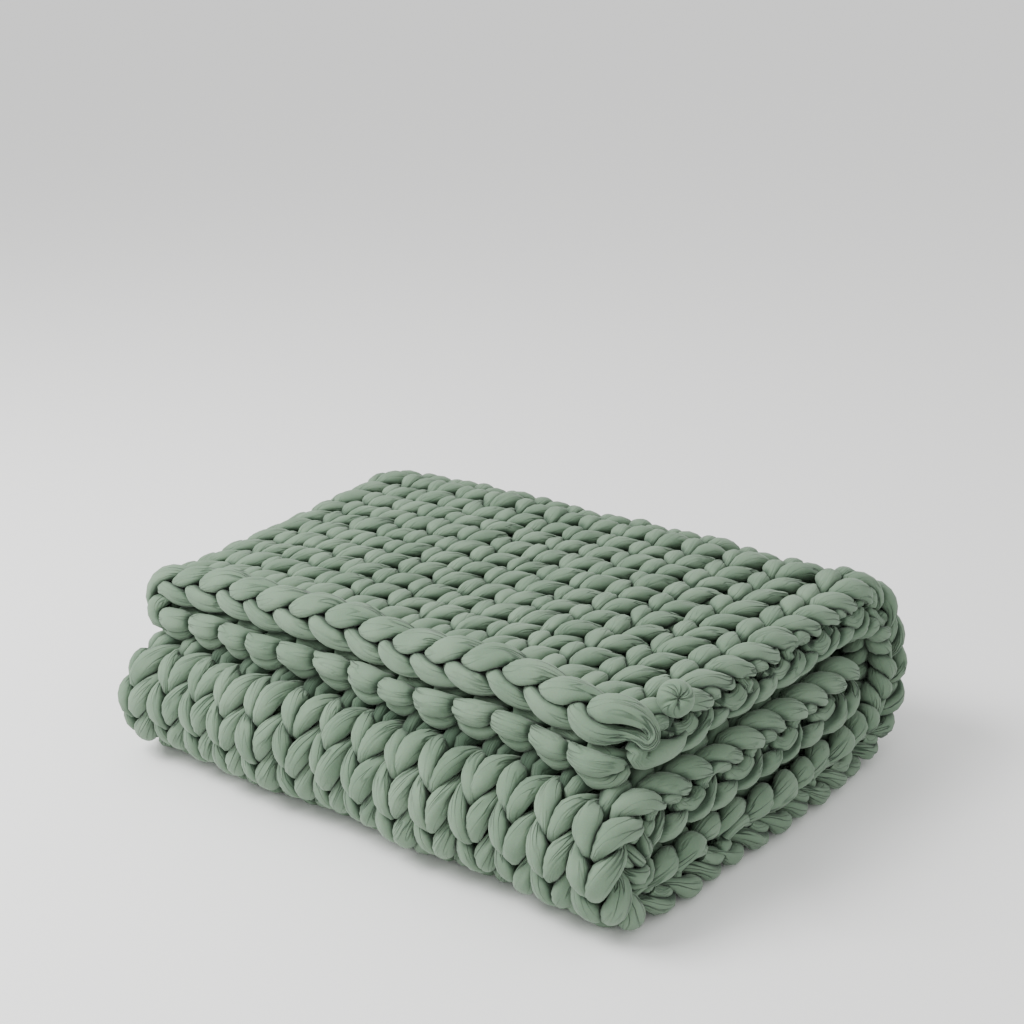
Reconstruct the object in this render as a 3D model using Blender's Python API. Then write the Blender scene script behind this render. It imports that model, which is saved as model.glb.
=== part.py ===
"""A folded weighted blanket of chunky hand knit, as one closed solid.

The cloth is one thick sheet. It is doubled across its width, so both its side edges meet at the right (+X) end and
its doubling bend is the left (-X) end. The doubled strip is then folded in thirds and lies as a flat spiral of six
layers: back along the top, down round the back fold, forward along the bottom, up round the front fold, and back
through the middle, where its last edge stops inside the back fold. The finishing edge lies along the top front.
"""

import math

import bmesh
import bpy

# One stitch of the knit sets the scale of everything else, metres
STITCH_WIDTH = 0.045

# The cloth
CLOTH_THICKNESS = 0.0330
LAYER_GAP = 0.0030
LAYER_PITCH = CLOTH_THICKNESS + LAYER_GAP

# The folded pile, before it settles
FOLDED_LENGTH = 14.1 * STITCH_WIDTH
TOP_RUN = 8.0 * STITCH_WIDTH
BOTTOM_RUN = 7.95 * STITCH_WIDTH
MIDDLE_RUN = 8.15 * STITCH_WIDTH
FRONT_RADIUS = LAYER_PITCH
BACK_RADIUS = 2.0 * LAYER_PITCH

# How the pile settles: each end drops by a part of its height, over a stretch measured in from that end. The drop is
# different at the front and at the rear, and a negative one is a rise
LEFT_DROP = {"front": 0.085, "rear": 0.03}
RIGHT_DROP = {"front": 0.035, "rear": -0.03}
END_STRETCH = 3.2 * STITCH_WIDTH
# The outer stitches of each fold lean outward or inward by this much along the length
FRONT_WAVE = 0.0035
BACK_WAVE = 0.0045
TOP_WAVE = 0.012
# At the right end the open side edges flare out towards the back fold
REAR_FLARE = 0.046
FRONT_SETBACK = 0.012
TOP_SETBACK = 0.030

# Facets
LENGTH_STEPS = 16
BEND_STEPS = 6

# The folded section of the doubled strip, from the finishing edge to the end inside the back fold. Each row turns
# the strip by "turn" degrees over a run of "length" metres, in "steps" facets.
SECTION = (
    {"stretch": "top", "length": TOP_RUN, "turn": 0.0, "steps": 8},
    {"stretch": "back fold", "length": math.pi * BACK_RADIUS, "turn": -180.0, "steps": 12},
    {"stretch": "bottom", "length": BOTTOM_RUN, "turn": 0.0, "steps": 8},
    {"stretch": "front fold", "length": math.pi * FRONT_RADIUS, "turn": -180.0, "steps": 10},
    {"stretch": "middle", "length": MIDDLE_RUN, "turn": 0.0, "steps": 8},
)


def clear_scene():
    """Empty the file, so that it holds only what this script makes."""
    for scene_object in list(bpy.data.objects):
        bpy.data.objects.remove(scene_object, do_unlink=True)


def section_frames():
    """Points and headings of the doubled strip's mid-line in the YZ plane, as (y, z, heading) rows."""
    y = 0.0
    z = 3.0 * LAYER_PITCH + BACK_RADIUS - LAYER_GAP / 2.0
    heading = 0.0
    frames = [(y, z, heading)]
    for row in SECTION:
        step = row["length"] / row["steps"]
        bend = math.radians(row["turn"]) / row["steps"]
        # A chord of an arc is shorter than the arc itself
        chord = step if bend == 0.0 else step * math.sin(bend / 2.0) / (bend / 2.0)
        for _ in range(row["steps"]):
            y += chord * math.cos(heading + bend / 2.0)
            z += chord * math.sin(heading + bend / 2.0)
            heading += bend
            frames.append((y, z, heading))
    return frames


def doubled_profile():
    """The sheet's mid-line across the doubled strip, as (x, offset, tilt) rows.

    It runs from the right end to the left along the strip's outer side, round the doubling bend, and back along its
    inner side. The offset is measured outward from the strip's mid-line, and the tilt is the angle between the
    sheet's own outward side and the strip's.
    """
    bend_radius = LAYER_PITCH / 2.0
    right = FOLDED_LENGTH / 2.0
    left = -FOLDED_LENGTH / 2.0 + bend_radius + CLOTH_THICKNESS / 2.0
    rows = []
    for step in range(LENGTH_STEPS + 1):
        share = step / LENGTH_STEPS
        rows.append((right + (left - right) * share, bend_radius, 0.0))
    for step in range(1, BEND_STEPS):
        tilt = math.pi * step / BEND_STEPS
        rows.append((left - bend_radius * math.sin(tilt), bend_radius * math.cos(tilt), tilt))
    for step in range(LENGTH_STEPS + 1):
        share = step / LENGTH_STEPS
        rows.append((left + (right - left) * share, -bend_radius, math.pi))
    return rows


def end_share(distance):
    """A smooth value that is 1 at an end of the pile and 0 at END_STRETCH or more away from it."""
    share = max(0.0, 1.0 - distance / END_STRETCH)
    return share * share * (3.0 - 2.0 * share)


def settled(x, y, z):
    """Move a point of the neat pile to where the heavy cloth lets it lie. The underside stays flat."""
    length_share = x / (FOLDED_LENGTH / 2.0)
    depth = TOP_RUN + BACK_RADIUS + FRONT_RADIUS
    rear_share = min(1.0, max(0.0, (y + FRONT_RADIUS) / depth))
    left_drop = LEFT_DROP["front"] + (LEFT_DROP["rear"] - LEFT_DROP["front"]) * rear_share
    right_drop = RIGHT_DROP["front"] + (RIGHT_DROP["rear"] - RIGHT_DROP["front"]) * rear_share
    drop = left_drop * end_share(x + FOLDED_LENGTH / 2.0)
    drop += right_drop * end_share(FOLDED_LENGTH / 2.0 - x)
    drop += TOP_WAVE * math.sin(2.6 * math.pi * length_share + 0.7)
    wave = BACK_WAVE * rear_share * math.sin(2.2 * math.pi * length_share + 0.4)
    wave -= FRONT_WAVE * (1.0 - rear_share) * math.sin(3.1 * math.pi * length_share - 0.9)
    flare = REAR_FLARE * math.sin(math.pi / 2.0 * rear_share) * max(0.0, length_share) ** 3
    height_share = max(0.0, z) / (6.0 * LAYER_PITCH)
    setback = FRONT_SETBACK * (1.0 - rear_share) + TOP_SETBACK * height_share ** 2
    setback *= (0.5 + 0.5 * length_share) ** 2
    return (x + flare - setback, y + wave, z * (1.0 - drop))


def blanket_mesh():
    """The cloth's two faces over its folded mid-surface, closed by walls along its four edges."""
    frames = section_frames()
    profile = doubled_profile()
    half = CLOTH_THICKNESS / 2.0
    shell = bmesh.new()
    faces_of_cloth = []
    for side in (half, -half):
        grid = []
        for x, offset, tilt in profile:
            line = []
            for y, z, heading in frames:
                out_y = -math.sin(heading)
                out_z = math.cos(heading)
                across = offset + side * math.cos(tilt)
                point = (x - side * math.sin(tilt), y + across * out_y, z + across * out_z)
                line.append(shell.verts.new(settled(*point)))
            grid.append(line)
        faces_of_cloth.append(grid)
    outer, inner = faces_of_cloth
    rows = len(profile)
    columns = len(frames)
    for i in range(rows - 1):
        for j in range(columns - 1):
            shell.faces.new((outer[i][j], outer[i + 1][j], outer[i + 1][j + 1], outer[i][j + 1]))
            shell.faces.new((inner[i][j], inner[i][j + 1], inner[i + 1][j + 1], inner[i + 1][j]))
    for i in range(rows - 1):
        for j in (0, columns - 1):
            shell.faces.new((outer[i][j], inner[i][j], inner[i + 1][j], outer[i + 1][j]))
    for j in range(columns - 1):
        for i in (0, rows - 1):
            shell.faces.new((outer[i][j], outer[i][j + 1], inner[i][j + 1], inner[i][j]))
    bmesh.ops.recalc_face_normals(shell, faces=shell.faces)
    bmesh.ops.triangulate(shell, faces=shell.faces)
    mesh = bpy.data.meshes.new("knit_blanket")
    shell.to_mesh(mesh)
    shell.free()
    return mesh


def centre_on_base(mesh):
    """Put the origin under the middle of the pile, on the surface it lies on."""
    lows = [min(vertex.co[axis] for vertex in mesh.vertices) for axis in range(3)]
    highs = [max(vertex.co[axis] for vertex in mesh.vertices) for axis in range(3)]
    for vertex in mesh.vertices:
        vertex.co.x -= (lows[0] + highs[0]) / 2.0
        vertex.co.y -= (lows[1] + highs[1]) / 2.0
        vertex.co.z -= lows[2]


def jersey_yarn_material():
    """Matte sage-green cotton jersey."""
    material = bpy.data.materials.new("sage_cotton_jersey")
    material.use_nodes = True
    shader = material.node_tree.nodes["Principled BSDF"]
    shader.inputs["Base Color"].default_value = (0.36, 0.43, 0.37, 1.0)
    shader.inputs["Roughness"].default_value = 0.9
    shader.inputs["Metallic"].default_value = 0.0
    return material


def build():
    """Make the blanket."""
    clear_scene()
    mesh = blanket_mesh()
    centre_on_base(mesh)
    mesh.shade_smooth()
    mesh.set_sharp_from_angle(angle=math.radians(40.0))
    mesh.materials.append(jersey_yarn_material())
    blanket = bpy.data.objects.new("knit_blanket", mesh)
    bpy.context.scene.collection.objects.link(blanket)


build()
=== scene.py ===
"""The looks of the folded weighted blanket: every stitch of its knit, in thick stuffed cotton-jersey yarn.

The knit is laid out flat first, in stitches: "across" counts them from the corner where the yarn is
fastened off, along the finishing edge, and "along" counts them from that edge to the last row. The flat knit
is then folded: it is doubled across its width, and the doubled strip is folded in thirds. The yarn is swept
as a round tube, and the tubes are then pressed flat on one another, on the layers above and below, and on
the surface under the pile.
"""

import math

import bpy
import numpy as np
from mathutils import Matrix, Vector, kdtree


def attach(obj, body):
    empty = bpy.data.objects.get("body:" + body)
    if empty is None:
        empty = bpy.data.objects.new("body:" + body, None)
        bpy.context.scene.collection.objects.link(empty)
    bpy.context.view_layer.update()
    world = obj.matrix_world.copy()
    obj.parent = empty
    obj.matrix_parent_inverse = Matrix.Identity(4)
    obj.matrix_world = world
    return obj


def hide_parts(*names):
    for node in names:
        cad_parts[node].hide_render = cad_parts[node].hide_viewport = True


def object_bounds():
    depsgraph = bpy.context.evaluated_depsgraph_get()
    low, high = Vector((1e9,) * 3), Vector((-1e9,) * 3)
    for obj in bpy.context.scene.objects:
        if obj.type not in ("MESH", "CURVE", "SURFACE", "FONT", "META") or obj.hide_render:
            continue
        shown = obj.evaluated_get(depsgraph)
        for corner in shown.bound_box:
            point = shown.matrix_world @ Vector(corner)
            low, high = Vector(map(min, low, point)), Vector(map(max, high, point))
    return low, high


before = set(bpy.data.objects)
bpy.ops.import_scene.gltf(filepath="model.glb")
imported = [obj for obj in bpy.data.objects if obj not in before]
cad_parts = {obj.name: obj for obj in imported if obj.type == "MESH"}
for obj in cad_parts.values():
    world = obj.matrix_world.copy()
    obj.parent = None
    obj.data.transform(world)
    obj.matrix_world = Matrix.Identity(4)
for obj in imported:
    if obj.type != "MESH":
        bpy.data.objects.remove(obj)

CAD_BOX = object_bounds()
CAD_NODE = "knit_blanket"
BODY = "root"
SEED = 11

# The folded cloth, metres: the same sizes as the CAD solid
STITCH = 0.045
CLOTH_THICKNESS = 0.0330
LAYER_GAP = 0.0030
LAYER_PITCH = CLOTH_THICKNESS + LAYER_GAP
FOLDED_LENGTH = 14.1 * STITCH
TOP_RUN = 8.0 * STITCH
BOTTOM_RUN = 7.95 * STITCH
MIDDLE_RUN = 8.15 * STITCH

# How the pile settles, as in the CAD solid: each end drops by a part of its height, over a stretch measured
# in from that end. A negative drop is a rise
LEFT_DROP = {"front": 0.085, "rear": 0.03}
RIGHT_DROP = {"front": 0.035, "rear": -0.03}
END_STRETCH = 3.2 * STITCH

# The front and the back lean out and in along the length by "size" metres, and the height changes by a part
# of itself. There are "half_waves" between the middle and an end, "start" radians on at the middle
FRONT_WAVE = {"size": 0.0035, "half_waves": 3.1, "start": -0.9}
BACK_WAVE = {"size": 0.0045, "half_waves": 2.2, "start": 0.4}
TOP_WAVE = {"size": 0.012, "half_waves": 2.6, "start": 0.7}

# At the right end the open side edges flare out towards the back fold, and the front and the upper layers lie
# further in, metres
REAR_FLARE = 0.046
FRONT_SETBACK = 0.012
TOP_SETBACK = 0.030

# The knit, in stitch widths
STITCHES_ACROSS = 28
ROW_PITCH = 0.81
ROWS = 41
FIRST_ROW = 0.95
LOOP_REACH = 0.68
LOOP_DEPTH = 0.22
YARN_RADIUS = 0.275
YARN_WIDE = 1.04
YARN_THICK = 0.78

# One leg of a loop on its way from the loop's foot, 0, to its head, 1. It comes up between the legs of the
# loop below, lies plump on the right side, and is pinched where it dives behind the loop above
LEG = (
    {"way": 0.00, "outward": 0.50, "up": -0.66, "depth": -0.22, "fatness": 0.68, "crease": 0.8},
    {"way": 0.12, "outward": 0.27, "up": -0.69, "depth": -0.20, "fatness": 0.78, "crease": 0.7},
    {"way": 0.24, "outward": 0.15, "up": -0.55, "depth": 0.05, "fatness": 1.04, "crease": 0.4},
    {"way": 0.42, "outward": 0.19, "up": -0.20, "depth": 0.19, "fatness": 1.14, "crease": 0.1},
    {"way": 0.60, "outward": 0.26, "up": 0.12, "depth": 0.13, "fatness": 1.02, "crease": 0.6},
    {"way": 0.76, "outward": 0.31, "up": 0.42, "depth": -0.05, "fatness": 0.66, "crease": 1.0},
    {"way": 0.90, "outward": 0.19, "up": 0.63, "depth": -0.20, "fatness": 0.60, "crease": 0.9},
    {"way": 1.00, "outward": 0.00, "up": 0.68, "depth": -0.22, "fatness": 0.68, "crease": 0.8},
)

# The chain of the finishing edge, in stitch widths: where it lies along the knit, how far out it is rolled
# round the edge, the radius on which its legs lie side by side, and how far before the end of its stitch each
# link has its middle
CHAIN_ALONG = 0.32
CHAIN_ROLL = 0.29
CHAIN_GIRTH = 0.44
CHAIN_LEAD = 0.25

# Its links: how long they are for a loop of the knit, how far their legs slide past each other, how far they
# open from a point on their way, how thick they are, and how far they are rolled round the edge. Links on the
# under sheet are shorter, thinner and evenly spread, and the last one is shorter too
CHAIN_REACH = 1.28
UNDER_REACH = 0.78
LAST_REACH = 0.72
CHAIN_SHEAR = 0.20
CHAIN_OPEN = 0.36
CHAIN_OPEN_FROM = 0.35
UNDER_SPREAD = 0.27
CHAIN_FATNESS = 1.06
UNDER_FATNESS = 0.84
CHAIN_RELIEF = 0.8
CHAIN_SECTIONS = 40
TOP_CHAIN_TILT = math.radians(43.0)
UNDER_CHAIN_TILT = math.radians(82.0)

# How uneven its links are
LINK_JITTER = {"middle": 0.05, "width": 0.08, "aside": 0.02, "fatness": 0.05}

# The part of a link's way in which it comes out of the last link, and in which it goes into the next
LINK_HIDDEN = 0.2

# The yarn between one link and the next, inside the chain
JOIN_SECTIONS = 4
JOIN_START = 0.66
JOIN_DEPTH = 0.17
JOIN_DIP = 0.06
JOIN_FATNESS = 0.7
JOIN_CREASE = 0.7

# Round the doubling bend the chain lies closer to the edge, by this part, over this many stitches each way
BEND_SNUG = 0.3
BEND_SNUG_RUN = 1.2

# The knot that ends the chain, in stitch widths: across, along and outwards. It faces the front right
KNOT_PLACE = (0.22, 1.07, 0.52)
KNOT_RADIUS = 0.38
KNOT_FACING = (0.62, -0.62, 0.42)
KNOT_FLATNESS = 0.88
KNOT_LOBES = 5
KNOT_LOBE_DEPTH = 0.30
KNOT_PLEATS = 17
KNOT_PLEAT_DEPTH = 0.05
KNOT_DIMPLE = 0.30
KNOT_FLOOR = 0.55
KNOT_SWIRL = 0.55
KNOT_RINGS = 36
KNOT_SIDES = 60

# How the tubes press on one another. Each keeps back from the plane where they meet by CREASE stitch widths,
# but isn't pressed to less than a share of its width. A tube doesn't press on its own next few radii, or on
# one whose middle is too near to tell the way
CREASE = 0.004
LEAST_SHARE = 0.28
SAME_TURN = 2.6
TOO_NEAR = 0.1

# A side presses on a neighbour or on the surface underneath only where it leans towards it by more than this
NEIGHBOUR_LEAN = 0.05
FLOOR_LEAN = 0.02
LEAST_HEIGHT = 0.002

# The flat side of the yarn is found from a second point this far along or above it, in stitch widths
FACING_STEP = 0.05

# The jersey: the sizes of its ribs, fuzz and patches of dye in metres, and its colours
RIB_PITCH = 0.0014
FUZZ_SIZE = 0.006
DYE_PATCH = 0.05
DYE_DEEP = "#677E68"
DYE_PALE = "#758B75"
# Painted shade: the dark colour laid into the creases and where strands press together
PAINTED_CREASE_SHADE = "#293C2D"

# How unevenly it is knitted, in stitch widths, and in radii for its fatness
PLACE_JITTER = 0.034
DEPTH_JITTER = 0.026
FAT_JITTER = 0.070

# Lengthwise pleats where the yarn is pinched: how many round it, and how deep for its radius. They drift
# round it, radians, and their depth changes along it
PLEATS = 5
PLEAT_DEPTH = 0.24
PLEAT_DRIFT = 1.6
PLEAT_CHANGE = 0.35

# The open side edges and the first edge curl towards the wrong side of the knit
SIDE_CURL = math.radians(62.0)
SIDE_CURL_RUN = 0.62 * STITCH
SIDE_OVERHANG = 0.013
TOP_EDGE_CURL = math.radians(34.0)
UNDER_EDGE_CURL = math.radians(18.0)
EDGE_CURL_RUN = 0.85 * STITCH
UNDER_EDGE_LEAD = 0.26 * STITCH

# Inside the back fold the two sheets of the last rows bend together
NOSE_RUN = 1.0 * STITCH
OUTER_NOSE = math.radians(80.0)
INNER_NOSE = math.radians(35.0)

# Sections of yarn per stitch on the outer and the inner sheet of each stretch, how far its stitches open and
# lean, in stitch widths, and how much of a leg's relief and taper they keep
DETAIL = {
    "top": {"outer": 34, "inner": 12, "open": 0.000, "lean": 0.085, "relief": 0.56, "taper": 0.55},
    "back fold": {"outer": 26, "inner": 12, "open": 0.015, "lean": 0.085, "relief": 0.90, "taper": 0.80},
    "bottom": {"outer": 16, "inner": 10, "open": 0.000, "lean": 0.085, "relief": 1.00, "taper": 1.00},
    "front fold": {"outer": 34, "inner": 12, "open": 0.080, "lean": 0.130, "relief": 1.10, "taper": 1.00},
    "middle": {"outer": 16, "inner": 12, "open": 0.000, "lean": 0.085, "relief": 0.85, "taper": 1.00},
}

# Near the ends a stitch has at least this many sections
END_DETAIL = 26

# The chain holds the first row's loops open, so they are gathered less
FIRST_ROW_CREASE = 0.35

# Where the yarn turns up into the next row at a side edge: its sections, how far it swings out and back in
# stitch widths, how thick it is, and how much it is gathered
TURN_DETAIL = 14
TURN_OUT = 0.26
TURN_DIP = 0.05
TURN_FATNESS = 0.86
TURN_CREASE = 0.3

# The pieces of the knit: their first and last rows, and how many points go round their yarn
PIECES = (
    {"name": "knit_top_front", "first": 0, "last": 4, "ring": 22},
    {"name": "knit_top_rear", "first": 5, "last": 9, "ring": 22},
    {"name": "knit_back_fold", "first": 10, "last": 17, "ring": 18},
    {"name": "knit_underside", "first": 18, "last": 27, "ring": 14},
    {"name": "knit_front_fold", "first": 28, "last": 32, "ring": 22},
    {"name": "knit_inside", "first": 33, "last": 40, "ring": 14},
)


# --- the folded surface --------------------------------------------------------------------------------


def sheet_section(outside, edge_curl, edge_lead, nose):
    """One sheet's mid-line through the folded pile, from its first edge. "outside" is its distance from the
    doubled strip's own mid-line. Each row runs "run" metres and turns by "turn" radians on the way."""
    return (
        {"stretch": "edge", "run": EDGE_CURL_RUN + edge_lead, "turn": -edge_curl},
        {"stretch": "top", "run": TOP_RUN - EDGE_CURL_RUN, "turn": 0.0},
        {"stretch": "back fold", "run": math.pi * (2.0 * LAYER_PITCH + outside), "turn": -math.pi},
        {"stretch": "bottom", "run": BOTTOM_RUN, "turn": 0.0},
        {"stretch": "front fold", "run": math.pi * (LAYER_PITCH + outside), "turn": -math.pi},
        {"stretch": "middle", "run": MIDDLE_RUN - 0.2 * STITCH, "turn": 0.0},
        {"stretch": "middle", "run": NOSE_RUN, "turn": nose},
    )


def trace(rows, distance, after_first, heading):
    """Places and headings at distances along a line of straight and evenly bent stretches.

    The end of the first stretch lies at "after_first". Past its two ends the line goes straight on.
    """
    first = rows[0]
    bend = first["turn"] / first["run"]
    end_heading = heading + first["turn"]
    begin = np.array(after_first, dtype=float)
    begin[0] -= (math.sin(end_heading) - math.sin(heading)) / bend
    begin[1] -= (math.cos(heading) - math.cos(end_heading)) / bend
    place = np.zeros((len(distance), 2))
    angle = np.zeros(len(distance))
    gone = 0.0
    for number, row in enumerate(rows):
        chosen = np.ones(len(distance), dtype=bool) if number == 0 else distance >= gone
        span = distance[chosen] - gone
        inside = np.clip(span, 0.0, row["run"])
        beyond = span - inside
        bend = row["turn"] / row["run"]
        here = heading + bend * inside
        if bend == 0.0:
            dx = inside * math.cos(heading)
            dy = inside * math.sin(heading)
        else:
            dx = (np.sin(here) - math.sin(heading)) / bend
            dy = (math.cos(heading) - np.cos(here)) / bend
        place[chosen, 0] = begin[0] + dx + beyond * np.cos(here)
        place[chosen, 1] = begin[1] + dy + beyond * np.sin(here)
        angle[chosen] = here
        end_heading = heading + row["turn"]
        if bend == 0.0:
            begin = begin + row["run"] * np.array((math.cos(heading), math.sin(heading)))
        else:
            begin = begin + np.array((
                (math.sin(end_heading) - math.sin(heading)) / bend,
                (math.cos(heading) - math.cos(end_heading)) / bend,
            ))
        heading = end_heading
        gone += row["run"]
    return place, angle


def knots(rows):
    """Distances at which the stretches of a line begin and end."""
    return np.concatenate(([0.0], np.cumsum([row["run"] for row in rows])))


def end_share(distance):
    """A smooth value that is 1 at an end of the pile and 0 at END_STRETCH or more away from it."""
    share = np.clip(1.0 - distance / END_STRETCH, 0.0, 1.0)
    return share * share * (3.0 - 2.0 * share)


def ripple(wave, length_share):
    """A slow wave along the pile. "length_share" is 0 at its middle and 1 at its right end."""
    return wave["size"] * np.sin(wave["half_waves"] * math.pi * length_share + wave["start"])


def settled(points):
    """Move points of the neat pile to where the heavy cloth lets them lie."""
    x, y, z = points.T
    length_share = x / (FOLDED_LENGTH / 2.0)
    depth = TOP_RUN + 3.0 * LAYER_PITCH
    rear_share = np.clip((y + LAYER_PITCH) / depth, 0.0, 1.0)
    left_drop = LEFT_DROP["front"] + (LEFT_DROP["rear"] - LEFT_DROP["front"]) * rear_share
    right_drop = RIGHT_DROP["front"] + (RIGHT_DROP["rear"] - RIGHT_DROP["front"]) * rear_share
    drop = left_drop * end_share(x + FOLDED_LENGTH / 2.0)
    drop += right_drop * end_share(FOLDED_LENGTH / 2.0 - x)
    drop += ripple(TOP_WAVE, length_share)
    wave = rear_share * ripple(BACK_WAVE, length_share)
    wave -= (1.0 - rear_share) * ripple(FRONT_WAVE, length_share)
    flare = REAR_FLARE * np.sin(math.pi / 2.0 * rear_share) * np.clip(length_share, 0.0, None) ** 3
    setback = FRONT_SETBACK * (1.0 - rear_share)
    setback += TOP_SETBACK * (np.clip(z, 0.0, None) / (6.0 * LAYER_PITCH)) ** 2
    setback *= (0.5 + 0.5 * length_share) ** 2
    return np.stack((x + flare - setback, y + wave, z * (1.0 - drop)), axis=1)


OUTER_SECTION = sheet_section(LAYER_PITCH / 2.0, TOP_EDGE_CURL, 0.0, -OUTER_NOSE)
INNER_SECTION = sheet_section(-LAYER_PITCH / 2.0, UNDER_EDGE_CURL, UNDER_EDGE_LEAD, INNER_NOSE)
BEND_CENTRE = -FOLDED_LENGTH / 2.0 + (LAYER_PITCH + CLOTH_THICKNESS) / 2.0
SIDE_CURL_REACH = SIDE_CURL_RUN / SIDE_CURL * math.sin(SIDE_CURL)
FLAT_RUN = FOLDED_LENGTH / 2.0 + SIDE_OVERHANG - YARN_RADIUS * STITCH - SIDE_CURL_REACH - BEND_CENTRE
CROSS_SECTION = (
    {"stretch": "side edge", "run": SIDE_CURL_RUN, "turn": SIDE_CURL},
    {"stretch": "outer sheet", "run": FLAT_RUN, "turn": 0.0},
    {"stretch": "doubling bend", "run": math.pi * LAYER_PITCH / 2.0, "turn": math.pi},
    {"stretch": "inner sheet", "run": FLAT_RUN, "turn": 0.0},
    {"stretch": "side edge", "run": SIDE_CURL_RUN, "turn": SIDE_CURL},
)
MID_TOP = CLOTH_THICKNESS / 2.0 + 4.5 * LAYER_PITCH
PILE_SHIFT = Vector((
    CAD_BOX[0][0] + FOLDED_LENGTH / 2.0,
    CAD_BOX[1][1] - TOP_RUN - 3.0 * LAYER_PITCH + LAYER_GAP / 2.0 - BACK_WAVE["size"],
    0.0,
))


def on_cloth(across, along, depth):
    """Places in the pile for points of the flat knit, all in stitches. Depth is towards its right side."""
    cross_knots = knots(CROSS_SECTION)
    cross = across / STITCHES_ACROSS * cross_knots[-1]
    start = (BEND_CENTRE + FLAT_RUN, LAYER_PITCH / 2.0)
    flat, flat_heading = trace(CROSS_SECTION, cross, start, math.pi - SIDE_CURL)
    share = np.clip(flat[:, 1] / (LAYER_PITCH / 2.0), -1.0, 1.0)[:, None]
    outer_run = along * STITCH
    outer_knots = knots(OUTER_SECTION)
    inner_knots = knots(INNER_SECTION)
    inner_run = np.interp(outer_run, outer_knots, inner_knots)
    inner_run += np.minimum(outer_run, 0.0) + np.maximum(outer_run - outer_knots[-1], 0.0)
    outer_start = (EDGE_CURL_RUN, MID_TOP + LAYER_PITCH / 2.0)
    inner_start = (EDGE_CURL_RUN, MID_TOP - LAYER_PITCH / 2.0)
    outer, outer_heading = trace(OUTER_SECTION, outer_run, outer_start, TOP_EDGE_CURL)
    inner, inner_heading = trace(INNER_SECTION, inner_run, inner_start, UNDER_EDGE_CURL)
    outer_out = np.stack((-np.sin(outer_heading), np.cos(outer_heading)), axis=1)
    inner_out = np.stack((-np.sin(inner_heading), np.cos(inner_heading)), axis=1)
    out = outer_out * (1.0 + share) + inner_out * (1.0 - share)
    out /= np.linalg.norm(out, axis=1, keepdims=True)
    lift = depth * STITCH
    section = (outer * (1.0 + share) + inner * (1.0 - share)) / 2.0
    section += out * (-np.cos(flat_heading) * lift)[:, None]
    x = flat[:, 0] + np.sin(flat_heading) * lift
    return settled(np.column_stack((x, section))) + np.array(PILE_SHIFT)


# --- the yarn's path -----------------------------------------------------------------------------------


def on_leg(way, column):
    """A smooth curve through one column of the leg's table."""
    ways = np.array([row["way"] for row in LEG])
    values = np.array([row[column] for row in LEG])
    slopes = np.gradient(values, ways)
    cell = np.clip(np.searchsorted(ways, way, side="right") - 1, 0, len(ways) - 2)
    width = ways[cell + 1] - ways[cell]
    part = (way - ways[cell]) / width
    rest = 1.0 - part
    before = (1.0 + 2.0 * part) * rest ** 2 * values[cell] + part * rest ** 2 * width * slopes[cell]
    after = part ** 2 * (3.0 - 2.0 * part) * values[cell + 1]
    after -= part ** 2 * rest * width * slopes[cell + 1]
    return before + after


def uneven(rng, count, size, per_unit):
    """A smooth random value for "count" stitches, "per_unit" times in each, as a function of distance."""
    values = rng.normal(0.0, size, int(count * per_unit) + 4)

    def value(distance):
        place = np.clip(distance * per_unit, 0.0, len(values) - 2.001) + 0.5
        cell = np.clip(place.astype(int), 0, len(values) - 2)
        part = np.clip(place - cell, 0.0, 1.0)
        part = part * part * (3.0 - 2.0 * part)
        return values[cell] * (1.0 - part) + values[cell + 1] * part

    return value


def stretch_of(row):
    """The name of the stretch of the folded section that a row of stitches lies in."""
    run = (FIRST_ROW + row * ROW_PITCH) * STITCH
    number = int(np.searchsorted(knots(OUTER_SECTION), run)) - 1
    name = OUTER_SECTION[min(number, len(OUTER_SECTION) - 1)]["stretch"]
    return "top" if name == "edge" else name


def sections_in(row, stitch):
    """How many sections of yarn a stitch is made of: more where it shows."""
    detail = DETAIL[stretch_of(row)]
    half = STITCHES_ACROSS // 2
    outer = stitch < half
    count = detail["outer"] if outer else detail["inner"]
    near_end = stitch in (0, 1, half - 2, half - 1, half, half + 1, STITCHES_ACROSS - 2, STITCHES_ACROSS - 1)
    if near_end or (row == 0 and not outer):
        count = max(count, END_DETAIL)
    return count


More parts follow.
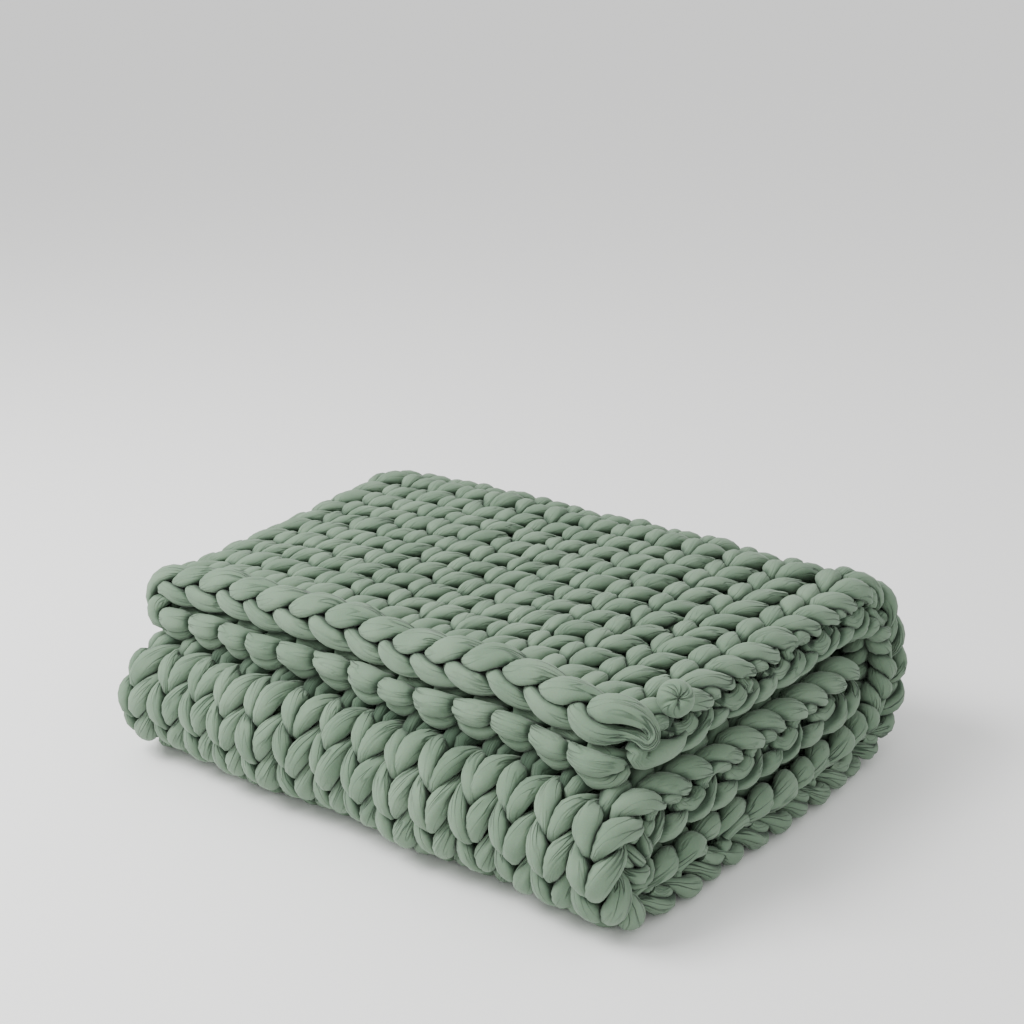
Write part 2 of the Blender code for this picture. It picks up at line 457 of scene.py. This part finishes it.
def row_of_loops(row, rng):
    """One row of the knit, in the order in which the yarn runs.

    Its columns are across, along, depth, fatness, crease, and the way that the flat side of the yarn faces:
    how much along, and how much towards the right side.
    """
    pieces = []
    for stitch in range(STITCHES_ACROSS):
        count = sections_in(row, stitch)
        pieces.append(stitch + (np.arange(count) + 0.5) / count)
    place = np.concatenate(pieces)
    part = place % 1.0 - 0.5
    way = 1.0 - 2.0 * np.abs(part)
    shift_across = uneven(rng, STITCHES_ACROSS, PLACE_JITTER, 2)
    shift_along = uneven(rng, STITCHES_ACROSS, PLACE_JITTER, 2)
    shift_depth = uneven(rng, STITCHES_ACROSS, DEPTH_JITTER, 4)
    fatness = uneven(rng, STITCHES_ACROSS, FAT_JITTER, 4)
    look = DETAIL[stretch_of(row)]
    rise = on_leg(way, "up")
    outward = on_leg(way, "outward") - look["open"] * np.sin(2.0 * math.pi * way)
    across = np.floor(place) + 0.5 + np.sign(part) * outward - look["lean"] * rise + shift_across(place)
    along = FIRST_ROW + row * ROW_PITCH + rise + shift_along(place)
    depth = on_leg(way, "depth") * look["relief"] + shift_depth(place)
    fat = (1.0 + look["taper"] * (on_leg(way, "fatness") - 1.0)) * (1.0 + fatness(place))
    crease = on_leg(way, "crease") * (FIRST_ROW_CREASE if row == 0 else 1.0)
    line = np.column_stack((across, along, depth, fat, crease, 0.0 * way, 1.0 + 0.0 * way))
    # At the far side edge the yarn turns up into the next row
    turn = (np.arange(TURN_DETAIL) + 1.0) / (TURN_DETAIL + 1.0)
    swing = np.sin(math.pi * turn)
    forward = row % 2 == 0
    edge = float(STITCHES_ACROSS) if forward else 0.0
    outward = TURN_OUT if forward else -TURN_OUT
    low = FIRST_ROW + row * ROW_PITCH - LOOP_REACH
    bend = np.column_stack((
        edge + outward * swing,
        low + ROW_PITCH * (1.0 - np.cos(math.pi * turn)) / 2.0,
        -LOOP_DEPTH - TURN_DIP * swing,
        np.full(TURN_DETAIL, TURN_FATNESS),
        np.full(TURN_DETAIL, TURN_CREASE),
        np.zeros(TURN_DETAIL),
        np.ones(TURN_DETAIL),
    ))
    if not forward:
        line = line[::-1]
    return np.concatenate((line, bend)) if row < ROWS - 1 else line


def edge_chain(rng):
    """The chain of links along the first edge of the knit. Its links open towards the knotted corner, and at
    the far corner, where the cloth curls in, there is none."""
    half = STITCHES_ACROSS / 2.0
    part = (np.arange(CHAIN_SECTIONS) + 0.5) / CHAIN_SECTIONS - 0.5
    way = 1.0 - 2.0 * np.abs(part)
    hidden = np.clip(way / LINK_HIDDEN, 0.0, 1.0) * np.clip((1.0 - way) / LINK_HIDDEN, 0.0, 1.0)
    join = (np.arange(JOIN_SECTIONS) + 1.0) / (JOIN_SECTIONS + 1.0)
    columns = []
    for link in range(STITCHES_ACROSS - 1, 0, -1):
        slip = rng.normal(0.0, 1.0, 6)
        if link > half:
            spread = UNDER_SPREAD * hidden
            shear = 0.0 * hidden
            reach = CHAIN_REACH * UNDER_REACH
            thickness = CHAIN_FATNESS * UNDER_FATNESS
        else:
            spread = (on_leg(way, "outward") + CHAIN_OPEN * (way - CHAIN_OPEN_FROM)) * hidden
            shear = CHAIN_SHEAR * hidden * np.sign(part)
            reach = CHAIN_REACH
            thickness = CHAIN_FATNESS
        if link == 1:
            reach *= LAST_REACH
        width = 1.0 + LINK_JITTER["width"] * np.where(part < 0.0, slip[1], slip[2])
        aside = np.sign(part) * spread * width + LINK_JITTER["aside"] * slip[3]
        aside = np.concatenate((aside, np.zeros(JOIN_SECTIONS)))
        middle = link - CHAIN_LEAD
        across = np.concatenate((
            middle - reach * on_leg(way, "up") - shear + LINK_JITTER["middle"] * slip[0],
            middle + JOIN_START * reach - join,
        ))
        lift = np.concatenate((
            on_leg(way, "depth") * CHAIN_RELIEF,
            -JOIN_DEPTH - JOIN_DIP * np.sin(math.pi * join),
        ))
        fatness = np.concatenate((
            on_leg(way, "fatness") * thickness * (1.0 + LINK_JITTER["fatness"] * slip[4]),
            np.full(JOIN_SECTIONS, JOIN_FATNESS),
        ))
        crease = np.concatenate((on_leg(way, "crease"), np.full(JOIN_SECTIONS, JOIN_CREASE)))
        under = np.clip(across - half + 0.5, 0.0, 1.0)
        tilt = TOP_CHAIN_TILT * (1.0 - under) + UNDER_CHAIN_TILT * under
        tilt -= aside / CHAIN_GIRTH
        snug = 1.0 - BEND_SNUG * np.exp(-((across - half) / BEND_SNUG_RUN) ** 2)
        lift = (CHAIN_ROLL + lift) * snug
        columns.append(np.column_stack((
            across,
            CHAIN_ALONG - lift * np.sin(tilt),
            lift * np.cos(tilt),
            fatness,
            crease,
            -np.sin(tilt),
            np.cos(tilt),
        )))
    return np.concatenate(columns)[:-JOIN_SECTIONS]


# --- the yarn as a body --------------------------------------------------------------------------------


def add_node(tree, kind, settings=None, links=None):
    """Add a node with its settings, and link its inputs: {input: (node, output) or a plain value}."""
    node = tree.nodes.new(kind)
    for name, value in (settings or {}).items():
        setattr(node, name, value)
    for name, source in (links or {}).items():
        if isinstance(source, tuple) and isinstance(source[0], bpy.types.Node):
            tree.links.new(source[0].outputs[source[1]], node.inputs[name])
        else:
            node.inputs[name].default_value = source
    return node


def yarn_tree():
    """Geometry Nodes: sweep a round tube along each strand, and keep each point's section and side."""
    tree = bpy.data.node_groups.new("sweep_yarn", "GeometryNodeTree")
    face = tree.interface
    face.new_socket("Strands", in_out="INPUT", socket_type="NodeSocketGeometry")
    face.new_socket("Yarn Radius", in_out="INPUT", socket_type="NodeSocketFloat")
    face.new_socket("Points Round", in_out="INPUT", socket_type="NodeSocketInt")
    face.new_socket("Jersey", in_out="INPUT", socket_type="NodeSocketMaterial")
    face.new_socket("Yarn", in_out="OUTPUT", socket_type="NodeSocketGeometry")
    given = add_node(tree, "NodeGroupInput")
    curve = add_node(tree, "GeometryNodeMeshToCurve", links={"Mesh": (given, "Strands")})
    fatness = add_node(tree, "GeometryNodeInputNamedAttribute", {"data_type": "FLOAT"}, {"Name": "fatness"})
    circle = add_node(tree, "GeometryNodeCurvePrimitiveCircle", {"mode": "RADIUS"},
                      {"Resolution": (given, "Points Round"), "Radius": (given, "Yarn Radius")})
    index = add_node(tree, "GeometryNodeInputIndex")
    ring = add_node(tree, "GeometryNodeStoreNamedAttribute", {"data_type": "INT", "domain": "POINT"},
                    {"Geometry": (circle, "Curve"), "Name": "side", "Value": (index, "Index")})
    tube = add_node(tree, "GeometryNodeCurveToMesh", links={
        "Curve": (curve, "Curve"),
        "Profile Curve": (ring, "Geometry"),
        "Scale": (fatness, "Attribute"),
        "Fill Caps": True,
    })
    smooth = add_node(tree, "GeometryNodeSetShadeSmooth", links={"Geometry": (tube, "Mesh")})
    whole = add_node(tree, "GeometryNodeRealizeInstances", links={"Geometry": (smooth, "Geometry")})
    dressed = add_node(tree, "GeometryNodeSetMaterial",
                       links={"Geometry": (whole, "Geometry"), "Material": (given, "Jersey")})
    add_node(tree, "NodeGroupOutput", links={"Yarn": (dressed, "Geometry")})
    return tree


def socket_id(tree, name):
    """The identifier of a tree's input, by its name."""
    return next(item.identifier for item in tree.interface.items_tree
                if item.name == name and item.in_out == "INPUT")


def swept(name, strands, numbers, tree, ring, material):
    """A mesh of round tubes along strands. Each strand is its columns of places and fatness."""
    places = np.concatenate([strand[:, :3] for strand in strands])
    fatness = np.concatenate([strand[:, 3] for strand in strands])
    edges = []
    first = 0
    for strand in strands:
        run = np.arange(first, first + len(strand) - 1)
        edges.append(np.column_stack((run, run + 1)))
        first += len(strand)
    line = bpy.data.meshes.new(name + "_line")
    line.from_pydata(places.tolist(), np.concatenate(edges).tolist(), [])
    line.attributes.new("fatness", "FLOAT", "POINT").data.foreach_set("value", fatness)
    line.attributes.new("section", "INT", "POINT").data.foreach_set("value", numbers)
    piece = bpy.data.objects.new(name, line)
    bpy.context.scene.collection.objects.link(piece)
    sweep = piece.modifiers.new("sweep_yarn", "NODES")
    sweep.node_group = tree
    sweep[socket_id(tree, "Yarn Radius")] = YARN_RADIUS * STITCH
    sweep[socket_id(tree, "Points Round")] = ring
    sweep[socket_id(tree, "Jersey")] = material
    graph = bpy.context.evaluated_depsgraph_get()
    mesh = bpy.data.meshes.new_from_object(piece.evaluated_get(graph))
    piece.modifiers.clear()
    piece.data = mesh
    mesh.name = name
    return piece


class Yarn:
    """Every section of the yarn in its place: where it is, how thick, and how far along the yarn."""

    def __init__(self):
        self.strands = []
        self.count = 0

    def add(self, flat, joined):
        """Add a strand given in the flat knit. A joined strand goes on from the last one."""
        across, along, depth, fatness, crease, face_along, face_depth = flat.T
        places = on_cloth(across, along, depth)
        beside = on_cloth(across, along + FACING_STEP * face_along, depth + FACING_STEP * face_depth)
        facing = beside - places
        facing /= np.linalg.norm(facing, axis=1, keepdims=True)
        strand = np.column_stack((places, fatness, crease, facing))
        numbers = np.arange(self.count, self.count + len(strand))
        self.count += len(strand)
        self.strands.append({"line": strand, "numbers": numbers, "joined": joined})
        return self.strands[-1]

    def settle(self):
        """Work out the yarn's distances and the neighbours that each section meets."""
        lines = [strand["line"] for strand in self.strands]
        self.place = np.concatenate([line[:, :3] for line in lines])
        radius = np.concatenate([line[:, 3] for line in lines]) * YARN_RADIUS * STITCH
        self.wide = radius * YARN_WIDE
        self.thick = radius * YARN_THICK
        self.crease = np.concatenate([line[:, 4] for line in lines])
        self.facing = np.concatenate([line[:, 5:] for line in lines])
        steps = np.linalg.norm(np.diff(self.place, axis=0), axis=1)
        for strand in self.strands[1:]:
            if not strand["joined"]:
                steps[strand["numbers"][0] - 1] = 10.0
        self.distance = np.concatenate(([0.0], np.cumsum(steps)))
        tree = kdtree.KDTree(self.count)
        for number, place in enumerate(self.place):
            tree.insert(place, number)
        tree.balance()
        widest = float(self.wide.max())
        own = []
        other = []
        for number, place in enumerate(self.place):
            near = [found[1] for found in tree.find_range(place, self.wide[number] + widest)]
            own.append(np.full(len(near), number))
            other.append(np.array(near, dtype=int))
        own = np.concatenate(own)
        other = np.concatenate(other)
        away = self.place[other] - self.place[own]
        gap = np.linalg.norm(away, axis=1)
        apart = np.abs(self.distance[own] - self.distance[other]) > SAME_TURN * self.thick[own]
        apart &= gap > TOO_NEAR * self.thick[own]
        own = own[apart]
        other = other[apart]
        away = away[apart] / gap[apart, None]
        gap = gap[apart]
        own_half = self.half_width(own, away)
        other_half = self.half_width(other, away)
        meet = gap < own_half + other_half
        self.own = own[meet]
        self.away = away[meet]
        share = own_half / (own_half + other_half)
        self.plane = np.maximum(gap * share - CREASE * STITCH, LEAST_SHARE * own_half)[meet]

    def half_width(self, numbers, direction):
        """How far sections of unpressed yarn reach in a direction. It is thinner the way it faces."""
        lean = np.sum(self.facing[numbers] * direction, axis=-1) ** 2
        return np.sqrt(self.thick[numbers] ** 2 * lean + self.wide[numbers] ** 2 * (1.0 - lean))


def ring_reach(yarn, numbers, sides):
    """How far each side of each section reaches before it meets a neighbour or the surface underneath, and
    how far it would reach unpressed.

    "sides" are unit vectors, (section, side, 3). Two strands that would overlap meet on a plane between them,
    nearer the thinner one.
    """
    lean = np.sum(sides * yarn.facing[numbers][:, None, :], axis=2) ** 2
    thick = yarn.thick[numbers][:, None]
    wide = yarn.wide[numbers][:, None]
    reach = 1.0 / np.sqrt(lean / thick ** 2 + (1.0 - lean) / wide ** 2)
    starts = np.searchsorted(yarn.own, numbers)
    ends = np.searchsorted(yarn.own, numbers, side="right")
    free = reach.copy()
    for index in range(len(numbers)):
        met = slice(starts[index], ends[index])
        if starts[index] == ends[index]:
            continue
        lean = sides[index] @ yarn.away[met].T
        limit = yarn.plane[met][None, :] / np.maximum(lean, NEIGHBOUR_LEAN)
        limit = np.where(lean > NEIGHBOUR_LEAN, limit, 1.0)
        reach[index] = np.minimum(reach[index], limit.min(axis=1))
    down = -sides[:, :, 2]
    height = yarn.place[numbers][:, 2][:, None]
    floor = np.maximum(height, LEAST_HEIGHT) / np.maximum(down, FLOOR_LEAN)
    floor = np.where(down > FLOOR_LEAN, floor, 1.0)
    return np.minimum(reach, floor), free


def pleated(reach, yarn, numbers, rng):
    """Gather the yarn in lengthwise pleats where it is pinched."""
    angle = np.arange(reach.shape[1]) / reach.shape[1] * 2.0 * math.pi
    distance = yarn.distance[numbers] / STITCH
    drift = uneven(rng, int(distance.max()) + 2, PLEAT_DRIFT, 1)
    strength = uneven(rng, int(distance.max()) + 2, PLEAT_CHANGE, 2)
    groove = 0.5 + 0.5 * np.cos(PLEATS * angle[None, :] + drift(distance)[:, None])
    depth = PLEAT_DEPTH * yarn.crease[numbers] * np.clip(1.0 + strength(distance), 0.3, 1.7)
    return reach * (1.0 - depth[:, None] * groove ** 3)


def eased(reach, strand_ends):
    """Round off the sharpest edges of the pressed yarn, across and along it."""
    across = 0.5 * reach + 0.25 * (np.roll(reach, 1, axis=1) + np.roll(reach, -1, axis=1))
    before = np.concatenate((across[:1], across[:-1]))
    after = np.concatenate((across[1:], across[-1:]))
    before[strand_ends["first"]] = across[strand_ends["first"]]
    after[strand_ends["last"]] = across[strand_ends["last"]]
    return 0.5 * across + 0.25 * (before + after)


def pressed(piece, yarn, numbers, ring, strands, rng):
    """Press a piece's round tubes on whatever they meet, pleat them, and note how the cloth lies on them."""
    mesh = piece.data
    count = len(mesh.vertices)
    section = np.zeros(count, dtype=np.int32)
    side = np.zeros(count, dtype=np.int32)
    mesh.attributes["section"].data.foreach_get("value", section)
    mesh.attributes["side"].data.foreach_get("value", side)
    places = np.zeros(count * 3, dtype=np.float32)
    mesh.vertices.foreach_get("co", places)
    places = places.reshape(-1, 3).astype(float)
    order = np.lexsort((side, section))
    core = yarn.place[numbers]
    spokes = places[order].reshape(len(numbers), ring, 3) - core[:, None, :]
    spokes /= np.linalg.norm(spokes, axis=2, keepdims=True)
    reach, free = ring_reach(yarn, numbers, spokes)
    firsts = np.searchsorted(numbers, [strand["numbers"][0] for strand in strands])
    lasts = np.searchsorted(numbers, [strand["numbers"][-1] for strand in strands])
    reach = eased(reach, {"first": firsts, "last": lasts})
    # contact: how far each side is pressed in; the jersey paints shade darker there
    contact = np.zeros(count)
    contact[order] = (1.0 - np.minimum(reach / free, 1.0)).ravel()
    reach = pleated(reach, yarn, numbers, rng)
    places[order] = (core[:, None, :] + spokes * reach[:, :, None]).reshape(-1, 3)
    places[:, 2] = np.maximum(places[:, 2], 0.0)
    mesh.vertices.foreach_set("co", places.ravel())
    mesh.update()
    angle = side / ring * 2.0 * math.pi
    wrap = np.column_stack((np.cos(angle), np.sin(angle), yarn.distance[section] / STITCH))
    mesh.attributes.new("yarn_wrap", "FLOAT_VECTOR", "POINT").data.foreach_set("vector", wrap.ravel())
    mesh.attributes.new("crease", "FLOAT", "POINT").data.foreach_set("value", yarn.crease[section])
    mesh.attributes.new("contact", "FLOAT", "POINT").data.foreach_set("value", contact)


def knot():
    """The knot that ends the chain: a ball of gathered yarn, drawn in at a dimple. Gives the piece's mesh."""
    centre = on_cloth(*(np.array([value]) for value in KNOT_PLACE))[0]
    around, down = np.meshgrid(np.arange(KNOT_SIDES) / KNOT_SIDES * 2.0 * math.pi,
                               (np.arange(KNOT_RINGS) + 0.5) / KNOT_RINGS * math.pi)
    swirl = around + KNOT_SWIRL * np.cos(down)
    gather = np.abs(np.cos(down)) ** 1.5
    lobes = np.abs(np.sin(KNOT_LOBES * swirl / 2.0 + 0.4 * np.sin(2.0 * around))) ** 0.5
    pleats = 0.5 + 0.5 * np.cos(KNOT_PLEATS * swirl + 2.0 * np.sin(3.0 * around))
    reach = 1.0 - KNOT_LOBE_DEPTH * gather * (1.0 - lobes) - KNOT_PLEAT_DEPTH * gather * pleats
    reach -= KNOT_DIMPLE * np.abs(np.cos(down)) ** 12
    reach *= KNOT_RADIUS * STITCH
    ball = np.stack((
        np.sin(down) * np.cos(around),
        np.sin(down) * np.sin(around),
        KNOT_FLATNESS * np.cos(down),
    ), axis=2)
    ball = (ball * reach[:, :, None]).reshape(-1, 3)
    turn = Vector(KNOT_FACING).normalized().to_track_quat("Z", "Y").to_matrix()
    ends = np.array([[0.0, 0.0, KNOT_FLOOR], [0.0, 0.0, -KNOT_FLOOR]]) * KNOT_RADIUS * STITCH
    places = np.concatenate((ball, ends)) @ np.array(turn).T + centre
    faces = []
    for ring in range(KNOT_RINGS - 1):
        for side in range(KNOT_SIDES):
            beside = (side + 1) % KNOT_SIDES
            corners = [(ring, side), (ring + 1, side), (ring + 1, beside), (ring, beside)]
            faces.append(tuple(row * KNOT_SIDES + column for row, column in corners))
    last = (KNOT_RINGS - 1) * KNOT_SIDES
    for side in range(KNOT_SIDES):
        beside = (side + 1) % KNOT_SIDES
        faces.append((KNOT_RINGS * KNOT_SIDES, side, beside))
        faces.append((KNOT_RINGS * KNOT_SIDES + 1, last + beside, last + side))
    mesh = bpy.data.meshes.new("end_knot")
    mesh.from_pydata(places.tolist(), [], faces)
    mesh.shade_smooth()
    wrap = np.column_stack((np.cos(swirl.ravel()), np.sin(swirl.ravel()), down.ravel() / 2.0))
    wrap = np.concatenate((wrap, np.zeros((2, 3))))
    mesh.attributes.new("yarn_wrap", "FLOAT_VECTOR", "POINT").data.foreach_set("vector", wrap.ravel())
    crease = np.concatenate((gather.ravel(), np.ones(2)))
    mesh.attributes.new("crease", "FLOAT", "POINT").data.foreach_set("value", crease)
    return mesh


# --- materials -----------------------------------------------------------------------------------------


def linear(hex_colour):
    """An sRGB hex colour as linear RGBA."""
    parts = [int(hex_colour[start:start + 2], 16) / 255.0 for start in (1, 3, 5)]
    bright = [part / 12.92 if part <= 0.04045 else ((part + 0.055) / 1.055) ** 2.4 for part in parts]
    return (*bright, 1.0)


def jersey():
    """Cotton jersey, knitted as a fine tube, dyed sage and stuffed: matt, a little furry, and gathered at
    each pinch, with shade painted dark into its creases and where strands press together."""
    material = bpy.data.materials.new("sage_cotton_jersey")
    material.use_nodes = True
    tree = material.node_tree
    shader = tree.nodes["Principled BSDF"]
    wrap = add_node(tree, "ShaderNodeAttribute", {"attribute_name": "yarn_wrap"})
    gather = add_node(tree, "ShaderNodeAttribute", {"attribute_name": "crease"})
    place = add_node(tree, "ShaderNodeTexCoord")
    # Creases run along the yarn: the lay is drawn out along it and tight round it
    lay = add_node(tree, "ShaderNodeVectorMath", {"operation": "MULTIPLY"},
                   {0: (wrap, "Vector"), 1: (1.5, 1.5, 0.9)})
    folds = add_node(tree, "ShaderNodeTexNoise", {"noise_dimensions": "3D"}, {
        "Vector": (lay, "Vector"),
        "Scale": 1.0,
        "Detail": 1.0,
        "Roughness": 0.5,
        "Distortion": 0.2,
    })
    line = add_node(tree, "ShaderNodeMath", {"operation": "SUBTRACT"}, {0: (folds, "Fac"), 1: 0.5})
    ridge = add_node(tree, "ShaderNodeMath", {"operation": "ABSOLUTE"}, {0: (line, "Value")})
    groove = add_node(tree, "ShaderNodeMapRange", {"interpolation_type": "SMOOTHSTEP"}, {
        "Value": (ridge, "Value"),
        "From Min": 0.0,
        "From Max": 0.045,
        "To Min": 1.0,
        "To Max": 0.0,
    })
    crease = add_node(tree, "ShaderNodeMath", {"operation": "MULTIPLY"},
                      {0: (groove, "Result"), 1: (gather, "Fac")})
    # The jersey's own knit: ribs 1.4 mm apart, and a loose fuzz over them
    ribs = add_node(tree, "ShaderNodeTexNoise", {"noise_dimensions": "3D"},
                    {"Vector": (place, "Object"), "Scale": 1.0 / RIB_PITCH, "Detail": 1.0, "Roughness": 0.6})
    fuzz = add_node(tree, "ShaderNodeTexNoise", {"noise_dimensions": "3D"},
                    {"Vector": (place, "Object"), "Scale": 1.0 / FUZZ_SIZE, "Detail": 3.0, "Roughness": 0.65})
    dye = add_node(tree, "ShaderNodeTexNoise", {"noise_dimensions": "3D"},
                   {"Vector": (place, "Object"), "Scale": 1.0 / DYE_PATCH, "Detail": 2.0})
    shade = add_node(tree, "ShaderNodeValToRGB", links={"Fac": (dye, "Fac")})
    shade.color_ramp.elements[0].position = 0.35
    shade.color_ramp.elements[0].color = linear(DYE_DEEP)
    shade.color_ramp.elements[1].position = 0.68
    shade.color_ramp.elements[1].color = linear(DYE_PALE)
    flecked = add_node(tree, "ShaderNodeMix", {"data_type": "RGBA", "blend_type": "MULTIPLY"},
                       {"Factor": 0.22, "A": (shade, "Color"), "B": (ribs, "Color")})
    # Painted shade: the colour is darkened in the creases and where strands press on each other, where shade
    # falls
    touch = add_node(tree, "ShaderNodeAttribute", {"attribute_name": "contact"})
    hollow = add_node(tree, "ShaderNodeMapRange", {"interpolation_type": "SMOOTHSTEP"}, {
        "Value": (touch, "Fac"),
        "From Min": 0.04,
        "From Max": 0.30,
        "To Min": 0.0,
        "To Max": 1.0,
    })
    dark = add_node(tree, "ShaderNodeMath", {"operation": "MAXIMUM"},
                    {0: (crease, "Value"), 1: (hollow, "Result")})
    shaded = add_node(tree, "ShaderNodeMath", {"operation": "MULTIPLY"}, {0: (dark, "Value"), 1: 0.86})
    # painted shade mixed into the jersey's colour
    painted_shade = add_node(tree, "ShaderNodeMix", {"data_type": "RGBA", "blend_type": "MIX"},
                    {"Factor": (shaded, "Value"), "A": (flecked, "Result"), "B": linear(PAINTED_CREASE_SHADE)})
    tree.links.new(painted_shade.outputs["Result"], shader.inputs["Base Color"])
    fine = add_node(tree, "ShaderNodeBump", {},
                    {"Height": (ribs, "Fac"), "Strength": 0.35, "Distance": 0.0004})
    furry = add_node(tree, "ShaderNodeBump", {}, {
        "Height": (fuzz, "Fac"),
        "Strength": 0.35,
        "Distance": 0.0012,
        "Normal": (fine, "Normal"),
    })
    gathered = add_node(tree, "ShaderNodeBump", {"invert": True}, {
        "Height": (crease, "Value"),
        "Strength": 0.9,
        "Distance": 0.0022,
        "Normal": (furry, "Normal"),
    })
    tree.links.new(gathered.outputs["Normal"], shader.inputs["Normal"])
    shader.inputs["Roughness"].default_value = 0.92
    shader.inputs["Specular IOR Level"].default_value = 0.25
    shader.inputs["Sheen Weight"].default_value = 0.12
    shader.inputs["Sheen Roughness"].default_value = 0.5
    return material


def floor_paint():
    """Matt white studio paper."""
    material = bpy.data.materials.new("white_studio_paper")
    material.use_nodes = True
    shader = material.node_tree.nodes["Principled BSDF"]
    shader.inputs["Base Color"].default_value = linear("#F4F4F3")
    shader.inputs["Roughness"].default_value = 0.85
    return material


# --- the pieces ----------------------------------------------------------------------------------------


def declare(piece):
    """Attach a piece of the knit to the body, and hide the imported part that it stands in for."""
    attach(piece, BODY)
    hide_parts(CAD_NODE)


def knit():
    """Lay out, sweep and press the whole yarn."""
    rng = np.random.default_rng(SEED)
    yarn = Yarn()
    rows = [yarn.add(row_of_loops(row, rng), joined=row > 0) for row in range(ROWS)]
    chain = yarn.add(edge_chain(rng), joined=False)
    yarn.settle()
    tree = yarn_tree()
    material = jersey()
    jobs = [(row["name"], rows[row["first"]:row["last"] + 1], row["ring"]) for row in PIECES]
    jobs.append(("edge_chain", [chain], 24))
    for name, strands, ring in jobs:
        numbers = np.concatenate([strand["numbers"] for strand in strands])
        piece = swept(name, [strand["line"] for strand in strands], numbers, tree, ring, material)
        pressed(piece, yarn, numbers, ring, strands, rng)
        declare(piece)
    ball_mesh = knot()
    ball_mesh.materials.append(material)
    ball = bpy.data.objects.new("end_knot", ball_mesh)
    bpy.context.scene.collection.objects.link(ball)
    declare(ball)


# --- the studio ----------------------------------------------------------------------------------------


# Metres, watts and millimetres of lens. The floor reaches past the horizon of every view
FLOOR_HALF = 60.0
SKY_STRENGTH = 1.14
LAMP_PLACE = (-1.2, -1.25, 2.1)
LAMP_AIM = (0.0, 0.0, 0.1)
LAMP_SIZE = 1.3
LAMP_POWER = 98.0
CAMERA_PLACE = (0.856, -1.221, 0.827)
CAMERA_AZIMUTH = math.radians(35.15)
CAMERA_ELEVATION = math.radians(20.43)
CAMERA_LENS = 53.9


def lay_floor():
    """A wide pale floor."""
    corners = [(-FLOOR_HALF, -FLOOR_HALF), (FLOOR_HALF, -FLOOR_HALF), (FLOOR_HALF, FLOOR_HALF),
               (-FLOOR_HALF, FLOOR_HALF)]
    mesh = bpy.data.meshes.new("floor")
    mesh.from_pydata([(x, y, 0.0) for x, y in corners], [], [(0, 1, 2, 3)])
    mesh.materials.append(floor_paint())
    floor = bpy.data.objects.new("floor", mesh)
    bpy.context.scene.collection.objects.link(floor)


def light():
    """An even white surround, and a soft box at the upper left."""
    world = bpy.data.worlds.new("studio")
    world.use_nodes = True
    world.node_tree.nodes["Background"].inputs["Color"].default_value = (1.0, 1.0, 1.0, 1.0)
    world.node_tree.nodes["Background"].inputs["Strength"].default_value = SKY_STRENGTH
    bpy.context.scene.world = world
    lamp = bpy.data.lights.new("soft_box", "AREA")
    lamp.energy = LAMP_POWER
    lamp.size = LAMP_SIZE
    box = bpy.data.objects.new("soft_box", lamp)
    box.location = LAMP_PLACE
    box.rotation_euler = (Vector(LAMP_AIM) - box.location).to_track_quat("-Z", "Y").to_euler()
    bpy.context.scene.collection.objects.link(box)


def set_camera():
    """The camera, to the right of the front and a little above."""
    lens = bpy.data.cameras.new("camera")
    lens.lens = CAMERA_LENS
    camera = bpy.data.objects.new("camera", lens)
    forward = Vector((
        -math.sin(CAMERA_AZIMUTH) * math.cos(CAMERA_ELEVATION),
        math.cos(CAMERA_AZIMUTH) * math.cos(CAMERA_ELEVATION),
        -math.sin(CAMERA_ELEVATION),
    ))
    camera.location = CAMERA_PLACE
    camera.rotation_euler = forward.to_track_quat("-Z", "Y").to_euler()
    bpy.context.scene.collection.objects.link(camera)
    bpy.context.scene.camera = camera


knit()
lay_floor()
light()
set_camera()
